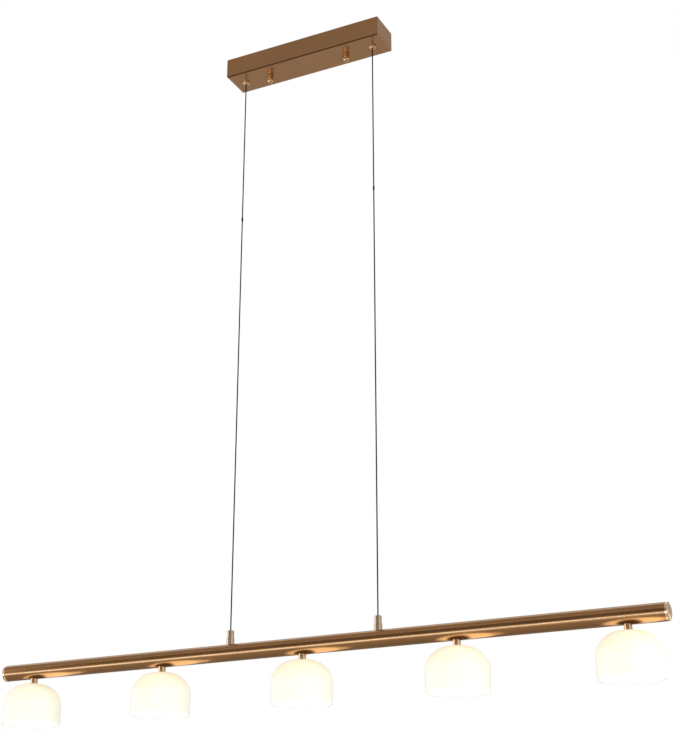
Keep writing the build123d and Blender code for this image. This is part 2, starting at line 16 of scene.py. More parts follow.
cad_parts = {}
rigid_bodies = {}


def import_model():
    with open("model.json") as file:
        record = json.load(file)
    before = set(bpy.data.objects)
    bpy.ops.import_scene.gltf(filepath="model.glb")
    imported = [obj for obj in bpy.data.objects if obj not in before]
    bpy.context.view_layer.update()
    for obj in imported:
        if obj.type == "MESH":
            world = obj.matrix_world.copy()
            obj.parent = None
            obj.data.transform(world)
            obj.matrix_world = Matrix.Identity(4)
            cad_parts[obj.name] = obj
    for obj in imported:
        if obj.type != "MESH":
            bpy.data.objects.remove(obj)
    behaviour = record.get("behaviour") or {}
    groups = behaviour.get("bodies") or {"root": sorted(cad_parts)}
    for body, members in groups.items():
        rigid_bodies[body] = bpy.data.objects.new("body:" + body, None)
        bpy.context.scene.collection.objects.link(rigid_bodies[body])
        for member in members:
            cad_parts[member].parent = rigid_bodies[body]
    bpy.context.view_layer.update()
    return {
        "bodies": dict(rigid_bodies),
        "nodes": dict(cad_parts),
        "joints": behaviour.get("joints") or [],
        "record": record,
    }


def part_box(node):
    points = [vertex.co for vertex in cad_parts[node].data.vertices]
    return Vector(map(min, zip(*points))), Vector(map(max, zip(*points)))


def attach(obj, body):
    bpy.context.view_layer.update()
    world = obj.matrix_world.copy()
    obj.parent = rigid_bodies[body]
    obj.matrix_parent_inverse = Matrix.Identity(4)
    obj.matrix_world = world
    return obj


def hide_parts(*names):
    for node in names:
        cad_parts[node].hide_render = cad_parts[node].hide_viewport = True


log = logging.getLogger("island_pendant")

MM = 0.001
LAMP_COUNT = 5
WHITE = (1.0, 1.0, 1.0)
Colour = tuple[float, float, float]
Place = tuple[float, float, float]
Point = tuple[float, float]
Profile = Sequence[tuple[float, float | None]]


class Side(Enum):
    """The two ends of the pendant, by the sign of X."""

    LEFT = -1
    RIGHT = 1

    @property
    def label(self) -> str:
        """The word that the pieces' names use."""
        return self.name.lower()


class Grain(Enum):
    """How a metal's fine lines run, as how much each axis is squeezed."""

    ALONG_BAR = (0.02, 1.0, 1.0)
    TURNED = (0.05, 0.05, 1.0)
    TURNED_ENDS = (1.0, 0.05, 0.05)
    EVEN = (1.0, 1.0, 1.0)


@dataclass(frozen=True)
class Extent:
    """The box that a construction piece fills, read from the frame."""

    low: Vector
    high: Vector

    @classmethod
    def of(cls, node: str) -> Extent:
        """Read the box of one piece.

        Args:
            node: The piece's name.

        Returns:
            Its box.
        """
        low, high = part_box(node)
        return cls(Vector(low), Vector(high))

    @property
    def x(self) -> float:
        """Where its middle is along the bar."""
        return (self.low.x + self.high.x) / 2.0

    @property
    def z(self) -> float:
        """The height of its middle."""
        return (self.low.z + self.high.z) / 2.0

    @property
    def radius(self) -> float:
        """Half its depth from front to back."""
        return (self.high.y - self.low.y) / 2.0


def srgb(red: float, green: float, blue: float) -> Colour:
    """Turn screen values from 0 to 255 into the linear colour that Blender uses.

    Args:
        red: Screen value of red.
        green: Screen value of green.
        blue: Screen value of blue.

    Returns:
        The linear colour.
    """

    def linear(value: float) -> float:
        """Undo the screen's curve for one channel."""
        part = value / 255.0
        return part / 12.92 if part <= 0.04045 else ((part + 0.055) / 1.055) ** 2.4

    return linear(red), linear(green), linear(blue)


# ---------------------------------------------------------------- shader graphs

MIX_FIRST, MIX_SECOND, MIX_RESULT = 6, 7, 2  # where a Mix node keeps its colour sockets
FINER = 3.1  # how much finer the second layer of fine lines is than the first
COARSE_SHARE = 0.45  # the first layer's share of the lines
CLOUD_RANGE = (0.35, 0.7)  # noise values at which a cloud starts and is full
PATCH_RANGE = (0.42, 0.68)  # the same for a dulled patch
SKIN_DEPTH = 0.2 * MM  # how high fine lines and grain stand at full strength


class Graph:
    """A node tree that is written with one call per node."""

    def __init__(self, tree: bpy.types.NodeTree) -> None:
        """Keep the tree.

        Args:
            tree: The tree that the nodes are added to.
        """
        self.tree = tree

    def feed(self, target: bpy.types.NodeSocket, value: Any) -> None:
        """Link a socket to another one, or set its value.

        Args:
            target: The socket that is fed.
            value: A value, or the socket that the value comes from.
        """
        if isinstance(value, bpy.types.NodeSocket):
            self.tree.links.new(value, target)
        elif isinstance(value, tuple) and len(value) == 3 and target.type == "RGBA":
            target.default_value = (*value, 1.0)
        else:
            target.default_value = value

    def add(
        self, kind: str, inputs: dict[str | int, Any] | None = None, **settings: Any
    ) -> bpy.types.Node:
        """Add a node, set its options and fill or link its inputs.

        Args:
            kind: Blender's name for the node type.
            inputs: What goes into each socket: a value, or another node's socket.
            **settings: Options of the node itself.

        Returns:
            The new node.
        """
        node = self.tree.nodes.new(kind)
        for option, value in settings.items():
            setattr(node, option, value)
        for socket, value in (inputs or {}).items():
            self.feed(node.inputs[socket], value)
        return node

    def math(
        self, operation: str, first: Any, second: Any = 0.0, clamp: bool = False
    ) -> bpy.types.NodeSocket:
        """Add one step of arithmetic.

        Args:
            operation: The Math node's operation.
            first: First value or socket.
            second: Second value or socket.
            clamp: Whether the result stays between 0 and 1.

        Returns:
            The result's socket.
        """
        node = self.add("ShaderNodeMath", {0: first, 1: second}, operation=operation, use_clamp=clamp)
        return node.outputs[0]

    def times(self, first: Any, second: Any) -> bpy.types.NodeSocket:
        """Multiply two colours or vectors, each part by its own.

        Args:
            first: First colour, vector or socket.
            second: Second colour, vector or socket.

        Returns:
            The product's socket.
        """
        return self.add("ShaderNodeVectorMath", {0: first, 1: second}, operation="MULTIPLY").outputs[0]

    def span(
        self, value: Any, low: float, high: float, to_low: float = 0.0, to_high: float = 1.0
    ) -> bpy.types.NodeSocket:
        """Map a value's range smoothly onto another range.

        Args:
            value: The socket that is mapped.
            low: Start of its range.
            high: End of its range.
            to_low: What the start becomes.
            to_high: What the end becomes.

        Returns:
            The mapped value's socket.
        """
        sockets = {"Value": value, "From Min": low, "From Max": high, "To Min": to_low, "To Max": to_high}
        return self.add("ShaderNodeMapRange", sockets, interpolation_type="SMOOTHSTEP").outputs["Result"]

    def mix(self, factor: Any, first: Any, second: Any) -> bpy.types.NodeSocket:
        """Mix two colours.

        Args:
            factor: Share of the second colour.
            first: First colour or socket.
            second: Second colour or socket.

        Returns:
            The mixed colour's socket.
        """
        sockets = {"Factor": factor, MIX_FIRST: first, MIX_SECOND: second}
        return self.add("ShaderNodeMix", sockets, data_type="RGBA").outputs[MIX_RESULT]

    def noise(self, vector: Any, scale: Any, detail: float = 2.0) -> bpy.types.NodeSocket:
        """Add a noise texture and give its value.

        Args:
            vector: Where it is read.
            scale: How fine it is.
            detail: How many finer layers it has.

        Returns:
            The noise value's socket.
        """
        sockets = {"Vector": vector, "Scale": scale, "Detail": detail}
        return self.add("ShaderNodeTexNoise", sockets).outputs["Fac"]


@dataclass(frozen=True)
class Effect:
    """A shader node group with named inputs and outputs, built once and used by several finishes."""

    name: str
    inputs: tuple[tuple[str, str, Any], ...]
    outputs: tuple[tuple[str, str], ...]
    fill: Callable[[Graph, bpy.types.Node], dict[str, bpy.types.NodeSocket]]

    def tree(self) -> bpy.types.NodeTree:
        """Give the group's tree, building it at its first use.

        Returns:
            The node group.
        """
        made = bpy.data.node_groups.get(self.name)
        if made is not None:
            return made
        tree = bpy.data.node_groups.new(self.name, "ShaderNodeTree")
        for label, kind, default in self.inputs:
            socket = tree.interface.new_socket(name=label, in_out="INPUT", socket_type=kind)
            socket.default_value = default
        for label, kind in self.outputs:
            tree.interface.new_socket(name=label, in_out="OUTPUT", socket_type=kind)
        graph = Graph(tree)
        results = self.fill(graph, graph.add("NodeGroupInput"))
        graph.add("NodeGroupOutput", results)
        return tree

    def place(self, graph: Graph, inputs: dict[str, Any]) -> bpy.types.Node:
        """Put the group in a material with its own values.

        Args:
            graph: The material's graph.
            inputs: Values or sockets by name.

        Returns:
            The group node.
        """
        return graph.add("ShaderNodeGroup", inputs, node_tree=self.tree())


def fill_fine_lines(graph: Graph, group: bpy.types.Node) -> dict[str, bpy.types.NodeSocket]:
    """Draw fine brushed or turned lines: stretched noise at two sizes.

    Args:
        graph: The group's graph.
        group: Its input node.

    Returns:
        The group's outputs by name.
    """
    squeezed = graph.times(group.outputs["Place"], group.outputs["Squeeze"])
    coarse = graph.noise(squeezed, group.outputs["Fineness"])
    finer = graph.noise(squeezed, graph.math("MULTIPLY", group.outputs["Fineness"], FINER), detail=3.0)
    coarse_part = graph.math("MULTIPLY", coarse, COARSE_SHARE)
    finer_part = graph.math("MULTIPLY", finer, 1.0 - COARSE_SHARE)
    lines = graph.math("ADD", coarse_part, finer_part)
    swing = graph.math("MULTIPLY", graph.math("SUBTRACT", lines, 0.5), group.outputs["Roughness Swing"])
    roughness = graph.math("ADD", group.outputs["Roughness"], swing, clamp=True)
    return {"Height": lines, "Roughness": roughness}


def fill_mottle(graph: Graph, group: bpy.types.Node) -> dict[str, bpy.types.NodeSocket]:
    """Cloud a colour softly towards a second one.

    Args:
        graph: The group's graph.
        group: Its input node.

    Returns:
        The group's outputs by name.
    """
    noise = graph.noise(group.outputs["Place"], group.outputs["Fineness"], detail=3.0)
    share = graph.math("MULTIPLY", graph.span(noise, *CLOUD_RANGE), group.outputs["Amount"])
    return {"Colour": graph.mix(share, group.outputs["Colour"], group.outputs["Second Colour"])}


def fill_handling(graph: Graph, group: bpy.types.Node) -> dict[str, bpy.types.NodeSocket]:
    """Dull a polish in broad soft patches, as hands and dust leave it.

    Args:
        graph: The group's graph.
        group: Its input node.

    Returns:
        The group's outputs by name.
    """
    noise = graph.noise(group.outputs["Place"], group.outputs["Fineness"], detail=4.0)
    extra = graph.math("MULTIPLY", graph.span(noise, *PATCH_RANGE), group.outputs["Dulling"])
    return {"Roughness": graph.math("ADD", group.outputs["Roughness"], extra, clamp=True)}


FINE_LINES = Effect(
    "Fine lines",
    (
        ("Place", "NodeSocketVector", (0.0, 0.0, 0.0)),
        ("Squeeze", "NodeSocketVector", (1.0, 1.0, 1.0)),
        ("Fineness", "NodeSocketFloat", 900.0),
        ("Roughness", "NodeSocketFloat", 0.3),
        ("Roughness Swing", "NodeSocketFloat", 0.1),
    ),
    (("Height", "NodeSocketFloat"), ("Roughness", "NodeSocketFloat")),
    fill_fine_lines,
)
MOTTLE = Effect(
    "Mottle",
    (
        ("Place", "NodeSocketVector", (0.0, 0.0, 0.0)),
        ("Fineness", "NodeSocketFloat", 20.0),
        ("Amount", "NodeSocketFloat", 0.3),
        ("Colour", "NodeSocketColor", (0.5, 0.5, 0.5, 1.0)),
        ("Second Colour", "NodeSocketColor", (0.4, 0.4, 0.4, 1.0)),
    ),
    (("Colour", "NodeSocketColor"),),
    fill_mottle,
)
HANDLING = Effect(
    "Handling",
    (
        ("Place", "NodeSocketVector", (0.0, 0.0, 0.0)),
        ("Fineness", "NodeSocketFloat", 12.0),
        ("Roughness", "NodeSocketFloat", 0.3),
        ("Dulling", "NodeSocketFloat", 0.05),
    ),
    (("Roughness", "NodeSocketFloat"),),
    fill_handling,
)


# ---------------------------------------------------------------- finishes


@dataclass(frozen=True)
class Finish:
    """What every finish shares: a name and the record's slot that it stands for."""

    name: str
    slot: str

    def dress(self, graph: Graph, place: bpy.types.NodeSocket) -> bpy.types.Node:
        """Build the shader. Each kind of finish has its own way.

        Args:
            graph: The material's graph.
            place: Position in the pendant's frame.

        Returns:
            The node whose first output is the surface.
        """
        raise NotImplementedError

    def material(self) -> bpy.types.Material:
        """Give the material, building it at its first use.

        Returns:
            The material.
        """
        made = bpy.data.materials.get(self.name)
        if made is not None:
            return made
        made = bpy.data.materials.new(self.name)
        made.use_nodes = True
        made.node_tree.nodes.clear()
        graph = Graph(made.node_tree)
        place = graph.add("ShaderNodeTexCoord").outputs["Object"]
        shader = self.dress(graph, place)
        graph.add("ShaderNodeOutputMaterial", {"Surface": shader.outputs[0]})
        return made


@dataclass(frozen=True)
class Metal(Finish):
    """Metal with fine lines, soft clouding and a thin clear lacquer."""

    colour: Colour
    shade: Colour
    roughness: float
    grain: Grain
    fineness: float = 900.0
    depth: float = 0.35
    swing: float = 0.12  # how far the lines sway the roughness
    cloud_fineness: float = 14.0
    clouding: float = 0.35
    metallic: float = 1.0
    lacquer: float = 0.0
    lacquer_roughness: float = 0.08
    dulling: float = 0.04
    # painted dark reflection: a darker colour on the folded edges, standing in for the dark surroundings
    # that the bends mirror
    fold: Colour | None = None  # colour of the folded edges that look forward and down
    fold_way: Place = (0.0, -0.7071, -0.7071)
    fold_range: tuple[float, float] = (0.75, 0.9)

    def dress(self, graph: Graph, place: bpy.types.NodeSocket) -> bpy.types.Node:
        """Build the metal's shader.

        Args:
            graph: The material's graph.
            place: Position in the pendant's frame.

        Returns:
            The surface shader.
        """
        colour = MOTTLE.place(
            graph,
            {"Place": place, "Fineness": self.cloud_fineness, "Amount": self.clouding,
             "Colour": self.colour, "Second Colour": self.shade},
        ).outputs["Colour"]
        # Painted dark reflection along the folded edges.
        if self.fold is not None:
            colour = graph.mix(self.facing_fold(graph), colour, self.fold)
        lines = FINE_LINES.place(
            graph,
            {"Place": place, "Squeeze": self.grain.value, "Fineness": self.fineness,
             "Roughness": self.roughness, "Roughness Swing": self.swing},
        )
        worn = HANDLING.place(
            graph, {"Place": place, "Roughness": lines.outputs["Roughness"], "Dulling": self.dulling}
        )
        bump = graph.add(
            "ShaderNodeBump",
            {"Height": lines.outputs["Height"], "Strength": self.depth, "Distance": SKIN_DEPTH},
        )
        return graph.add(
            "ShaderNodeBsdfPrincipled",
            {"Base Color": colour, "Metallic": self.metallic, "Roughness": worn.outputs["Roughness"],
             "Coat Weight": self.lacquer, "Coat Roughness": self.lacquer_roughness,
             "Normal": bump.outputs["Normal"]},
        )

    def facing_fold(self, graph: Graph) -> bpy.types.NodeSocket:
        """Find where the painted dark reflection goes: faces that look the way the folded edges do.

        Args:
            graph: The material's graph.

        Returns:
            The socket of a mask that is 1 on those edges.
        """
        normal = graph.add("ShaderNodeTexCoord").outputs["Normal"]
        facing = graph.add(
            "ShaderNodeVectorMath", {0: normal, 1: self.fold_way}, operation="DOT_PRODUCT"
        ).outputs["Value"]
        return graph.span(facing, *self.fold_range)


@dataclass(frozen=True)
class OpalGlass(Finish):
    """Opal glass lit from inside: white below, warmer towards the crown, with painted shade greying its
    outline and its seat.
    """

    body: Colour
    crown: Colour
    # painted shade: the greyer colour where the glass turns away from view
    outline: Colour
    lit: float  # share of its colour that the wall gives off as light
    lit_high: float  # the same towards the crown
    lit_crown: float  # the same on top, over the lampholder
    lit_in_metal: Colour  # its light as polished metal mirrors it
    dark_in_metal: Colour = (0.10, 0.07, 0.04)  # the same on top, and where the glass turns away
    turning_away: tuple[float, float] = (0.05, 0.85)  # where that darkness starts and is full
    # painted shade: the seat's darker colour on top, round the neck, where the nut and lampholder keep
    # the light off
    seat: Colour = srgb(206, 190, 162)
    seat_depth: float = 0.9 * MM  # how far below the top the seat's colour reaches
    warm_depth: float = 52.0 * MM  # the same for the crown's colour
    shaded_depth: float = 3.0 * MM  # the same for the shade of the lampholder
    dark_depth: float = 0.6 * MM  # how far below the top that shade is full
    unlit_share: float = 0.22  # share of the lamps' light that the shaded top sends back
    outline_start: float = 0.8  # how far the glass has turned away where its outline starts
    cloud_fineness: float = 9.0
    clouding: float = 0.3
    wave_fineness: float = 60.0
    wave_strength: float = 0.04
    wave_height: float = 1.0 * MM
    roughness: float = 0.32
    bending: float = 1.4  # the index of refraction of its skin

    def dress(self, graph: Graph, place: bpy.types.NodeSocket) -> bpy.types.Node:
        """Build the glass's shader.

        Args:
            graph: The material's graph.
            place: Position in the pendant's frame.

        Returns:
            The surface shader.
        """
        top = Extent.of("shade_1").high.z
        height = graph.add("ShaderNodeSeparateXYZ", {"Vector": place}).outputs["Z"]
        upward = graph.span(height, top - self.warm_depth, top)
        shaded = graph.span(height, top - self.shaded_depth, top - self.dark_depth)
        grazing = graph.add("ShaderNodeLayerWeight", {"Blend": 0.5}).outputs["Facing"]
        clouded = MOTTLE.place(
            graph,
            {"Place": place, "Fineness": self.cloud_fineness, "Amount": self.clouding,
             "Colour": graph.mix(upward, self.body, self.crown), "Second Colour": self.body},
        ).outputs["Colour"]
        # Painted shade: grey towards the outline, where the glass turns away.
        painted_outline = graph.mix(graph.span(grazing, self.outline_start, 1.0), clouded, self.outline)
        # Painted shade on the seat, round the neck.
        tint = graph.mix(graph.span(height, top - self.seat_depth, top), painted_outline, self.seat)
        skin = graph.times(tint, graph.mix(shaded, WHITE, (self.unlit_share,) * 3))
        wall_light = graph.mix(upward, (self.lit,) * 3, (self.lit_high,) * 3)
        lit = graph.times(tint, graph.mix(shaded, wall_light, (self.lit_crown,) * 3))
        dark = graph.math("MAXIMUM", shaded, graph.span(grazing, *self.turning_away))
        in_metal = graph.mix(dark, self.lit_in_metal, self.dark_in_metal)
        seen = graph.add("ShaderNodeLightPath").outputs["Is Camera Ray"]
        wave = graph.noise(place, self.wave_fineness, detail=1.0)
        bump = graph.add(
            "ShaderNodeBump",
            {"Height": wave, "Strength": self.wave_strength, "Distance": self.wave_height},
        )
        return graph.add(
            "ShaderNodeBsdfPrincipled",
            {"Base Color": skin, "Roughness": self.roughness, "IOR": self.bending,
             "Emission Color": graph.mix(seen, in_metal, lit), "Emission Strength": 1.0,
             "Normal": bump.outputs["Normal"]},
        )


@dataclass(frozen=True)
class Moulded(Finish):
    """A plastic, rubber or ceramic with soft clouding and a fine grainy skin."""

    colour: Colour
    shade: Colour
    roughness: float
    grain_size: float = 900.0
    grain_depth: float = 0.15
    glow: float = 0.0
    gloss: float = 0.5
    cloud_fineness: float = 40.0
    clouding: float = 0.5
    swing: float = 0.1

    def dress(self, graph: Graph, place: bpy.types.NodeSocket) -> bpy.types.Node:
        """Build the moulded finish's shader.

        Args:
            graph: The material's graph.
            place: Position in the pendant's frame.

        Returns:
            The surface shader.
        """
        colour = MOTTLE.place(
            graph,
            {"Place": place, "Fineness": self.cloud_fineness, "Amount": self.clouding,
             "Colour": self.colour, "Second Colour": self.shade},
        ).outputs["Colour"]
        skin = FINE_LINES.place(
            graph,
            {"Place": place, "Squeeze": Grain.EVEN.value, "Fineness": self.grain_size,
             "Roughness": self.roughness, "Roughness Swing": self.swing},
        )
        bump = graph.add(
            "ShaderNodeBump",
            {"Height": skin.outputs["Height"], "Strength": self.grain_depth, "Distance": SKIN_DEPTH},
        )
        return graph.add(
            "ShaderNodeBsdfPrincipled",
            {"Base Color": colour, "Roughness": skin.outputs["Roughness"],
             "Specular IOR Level": self.gloss, "Emission Color": colour,
             "Emission Strength": self.glow, "Normal": bump.outputs["Normal"]},
        )


# The canopy's fold colour is a painted dark reflection along its folded front edges.
CANOPY_BRONZE = Metal(
    "Canopy bronze", "canopy_metal", srgb(178, 133, 92), srgb(166, 122, 82), 0.24, Grain.ALONG_BAR,
    fineness=700.0, depth=0.15, metallic=0.85, lacquer=0.08, lacquer_roughness=0.18,
    fold=srgb(84, 50, 26),
)
BAR_BRASS = Metal(
    "Bar brass", "bar_metal", srgb(182, 134, 84), srgb(170, 120, 72), 0.2, Grain.ALONG_BAR,
    fineness=1100.0, depth=0.08, swing=0.08, lacquer=0.6, lacquer_roughness=0.14,
)
CAP_BRASS = Metal(
    "Cap brass", "bar_metal", srgb(248, 212, 174), srgb(238, 198, 158), 0.24, Grain.TURNED_ENDS,
    fineness=1100.0, depth=0.04, swing=0.08, lacquer=1.0, lacquer_roughness=0.14,
)
TURNED_BRASS = Metal(
    "Turned brass", "turned_metal", srgb(222, 182, 138), srgb(208, 162, 116), 0.24, Grain.TURNED,
    fineness=1400.0, depth=0.03, swing=0.06, lacquer=0.15, lacquer_roughness=0.05,
)
GRIP_BRASS = Metal(
    "Grip brass", "turned_metal", srgb(204, 182, 156), srgb(186, 158, 130), 0.34, Grain.TURNED,
    fineness=1400.0, depth=0.02, swing=0.06,
)
ZINC_STEEL = Metal(
    "Zinc steel", "zinc_steel", srgb(200, 202, 204), srgb(176, 178, 182), 0.34, Grain.EVEN,
    fineness=500.0,
)
OPAL = OpalGlass(
    "Opal glass", "opal_glass", srgb(245, 243, 229), srgb(252, 238, 206), srgb(220, 217, 206),
    lit=0.27, lit_high=0.44, lit_crown=1.0, lit_in_metal=(1.75, 1.7, 1.5),
)
OPAL_LINING = OpalGlass(
    "Opal glass inside", "opal_glass", srgb(245, 243, 231), srgb(244, 240, 224), srgb(240, 238, 228),
    lit=0.06, lit_high=0.2, lit_crown=0.5, lit_in_metal=(2.6, 2.5, 2.3),
)
# The rim's greyer colours are painted shade that draws the rim as a thin dark line.
OPAL_RIM = OpalGlass(
    "Opal glass rim", "opal_glass", srgb(214, 213, 209), srgb(214, 213, 209), srgb(196, 195, 191),
    lit=0.1, lit_high=0.1, lit_crown=0.1, lit_in_metal=(1.2, 1.15, 1.05),
)
FROSTED_BULB = Moulded(
    "Frosted bulb", "bulb_glass", srgb(255, 250, 236), srgb(255, 246, 226), 0.5,
    grain_size=400.0, grain_depth=0.1, glow=1.2,
)
CORD_SHEATH = Moulded(
    "Cord sheath", "cord_sheath", srgb(12, 11, 11), srgb(8, 8, 8), 0.7,
    grain_size=2500.0, grain_depth=0.3, gloss=0.12,
)
CLIP_PLASTIC = Moulded("Clip plastic", "clip_plastic", srgb(14, 13, 13), srgb(10, 9, 9), 0.6, gloss=0.2)
TERMINAL_PLASTIC = Moulded(
    "Terminal plastic", "terminal_plastic", srgb(226, 222, 210), srgb(214, 208, 194), 0.5
)
CERAMIC = Moulded(
    "Holder ceramic", "holder_ceramic", srgb(238, 234, 224), srgb(226, 220, 206), 0.6,
    grain_size=600.0, grain_depth=0.3,
)
BASE_CERAMIC = Moulded("Base ceramic", "base_ceramic", srgb(232, 226, 212), srgb(222, 214, 198), 0.55)
WASHER_RUBBER = Moulded("Washer rubber", "washer_rubber", srgb(206, 204, 196), srgb(190, 188, 180), 0.6)
LOOM_SHEATH = Moulded("Loom sheath", "loom_sheath", srgb(196, 186, 164), srgb(180, 168, 146), 0.55)
ALL_FINISHES: tuple[Finish, ...] = (
    CANOPY_BRONZE, BAR_BRASS, TURNED_BRASS, ZINC_STEEL, OPAL, FROSTED_BULB, CORD_SHEATH, CLIP_PLASTIC,
    TERMINAL_PLASTIC, CERAMIC, BASE_CERAMIC, WASHER_RUBBER, LOOM_SHEATH,
)


# ---------------------------------------------------------------- shared mesh work


def arc(centre: Point, radius: float, start: float, end: float, steps: int) -> list[Point]:
    """Sample an arc in a profile's plane.

    Args:
        centre: Its centre as (distance from the axis, height).
        radius: Its radius.
        start: First angle in degrees, counted from outward towards up.
        end: Last angle in degrees.
        steps: Number of pieces that it is cut into.

    Returns:
        The points, both ends included.
    """
    angles = [math.radians(start + (end - start) * step / steps) for step in range(steps + 1)]
    return [(centre[0] + radius * math.cos(a), centre[1] + radius * math.sin(a)) for a in angles]


def dressed(obj: bpy.types.Object, finish: Finish, body: str, nodes: Sequence[str]) -> bpy.types.Object:
    """Give a new piece its finish, its body and the nodes that it stands for.

    Args:
        obj: The piece.
        finish: What it is finished with.
        body: The body that it rides on.
        nodes: The nodes that it replaces.

    Returns:
        The same piece.
    """
    obj.data.materials.clear()
    obj.data.materials.append(finish.material())
    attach(obj, body)
    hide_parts(*nodes)
    log.info("%s rides on %s", obj.name, body)
    return obj


def lathe(
    name: str,
    profile: Profile,
    place: Matrix,
    segments: int = 64,
    saddle: Callable[[float], float] | None = None,
    closed: bool = True,
    sharp: float = 35.0,
) -> bpy.types.Object:
    """Turn a profile about the Z axis.

    Args:
        name: Name of the new piece.
        profile: Points as (distance from the axis, height). A height of None follows the saddle.
        place: Where the turned piece goes.
        segments: Number of sides.
        saddle: Height at a distance along Y, for points that sit on the bar.
        closed: Whether the profile joins its last point to its first.
        sharp: Angle in degrees above which an edge stays crisp.

    Returns:
        The new object, linked to the scene.
    """
    mesh = bpy.data.meshes.new(name)
    shape = bmesh.new()
    rings = []
    for radius, height in profile:
        if radius == 0.0:
            rings.append([shape.verts.new((0.0, 0.0, height))])
            continue
        ring = []
        for step in range(segments):
            angle = 2.0 * math.pi * step / segments
            x, y = radius * math.cos(angle), radius * math.sin(angle)
            ring.append(shape.verts.new((x, y, saddle(y) if height is None else height)))
        rings.append(ring)
    pairs = list(zip(rings, rings[1:]))
    if closed:
        pairs.append((rings[-1], rings[0]))
    for first, second in pairs:
        if len(first) == 1 and len(second) == 1:
            continue
        for step in range(segments):
            after = (step + 1) % segments
            corners = [first[step % len(first)], first[after % len(first)]]
            corners += [second[after % len(second)], second[step % len(second)]]
            shape.faces.new(list(dict.fromkeys(corners)))
    bmesh.ops.recalc_face_normals(shape, faces=shape.faces)
    shape.transform(place)
    for face in shape.faces:
        face.smooth = True
    shape.to_mesh(mesh)
    shape.free()
    mesh.set_sharp_from_angle(angle=math.radians(sharp))
    obj = bpy.data.objects.new(name, mesh)
    bpy.context.scene.collection.objects.link(obj)
    return obj


def at(x: float, z: float = 0.0) -> Matrix:
    """Place a piece on a vertical axis at x, raised by z."""
    return Matrix.Translation((x, 0.0, z))


# ---------------------------------------------------------------- camera and studio


@dataclass(frozen=True)
class Card:
    """A long card round the bar, between two angles seen from it. It shows in reflections alone."""

    name: str
    low: float  # angle of its lower edge in degrees, from level in front towards up
    high: float  # angle of its upper edge
    shine: Colour
    distance: float  # how far from the bar its edges are
    ends: tuple[float, float] = (-7.0, 7.0)
    paint: Colour = (0.02, 0.02, 0.02)

    def corners(self, middle: float) -> list[Vector]:
        """Work out its corners.

        Args:
            middle: Height of the bar's axis.

        Returns:
            The corners in order.
        """
        left, right = self.ends
        edges = []
        for angle in (math.radians(self.low), math.radians(self.high)):
            edges.append((-self.distance * math.cos(angle), middle + self.distance * math.sin(angle)))
        (low_y, low_z), (high_y, high_z) = edges
        return [
            Vector((left, low_y, low_z)), Vector((right, low_y, low_z)),
            Vector((right, high_y, high_z)), Vector((left, high_y, high_z)),
        ]


@dataclass(frozen=True)
class Softbox:
    """A soft rectangular lamp that the camera doesn't see."""

    name: str
    spot: Place
    aim: Place
    size: tuple[float, float]
    watts: float
    colour: Colour = (1.0, 0.96, 0.90)
    reflected: bool = False  # whether polished pieces show it
    scattered: bool = True  # whether it lights dull surfaces

    def hang(self) -> None:
        """Add the lamp to the scene, facing its aim."""
        data = bpy.data.lights.new(self.name, "AREA")
        data.shape = "RECTANGLE"
        data.size, data.size_y = self.size
        data.energy = self.watts
        data.color = self.colour
        way = Vector(self.aim) - Vector(self.spot)
        lamp = bpy.data.objects.new(self.name, data)
        lamp.location = self.spot
        lamp.rotation_euler = way.to_track_quat("-Z", "Y").to_euler()
        lamp.visible_camera = False
        lamp.visible_glossy = self.reflected
        lamp.visible_diffuse = self.scattered
        bpy.context.scene.collection.objects.link(lamp)


CARDS = (
    Card("Dark front card", -4.0, 42.0, (0.17, 0.14, 0.12), 3.4, ends=(-3.4, 3.2)),
    Card("Upper card", 46.0, 100.0, (0.40, 0.37, 0.355), 2.6),
    Card("Back card", 126.0, 178.0, (0.40, 0.40, 0.40), 4.0),
    Card("Low front card", -84.0, -36.0, (0.40, 0.37, 0.34), 1.2),
    Card("Low back card", -168.0, -84.0, (0.30, 0.28, 0.26), 1.2),
)


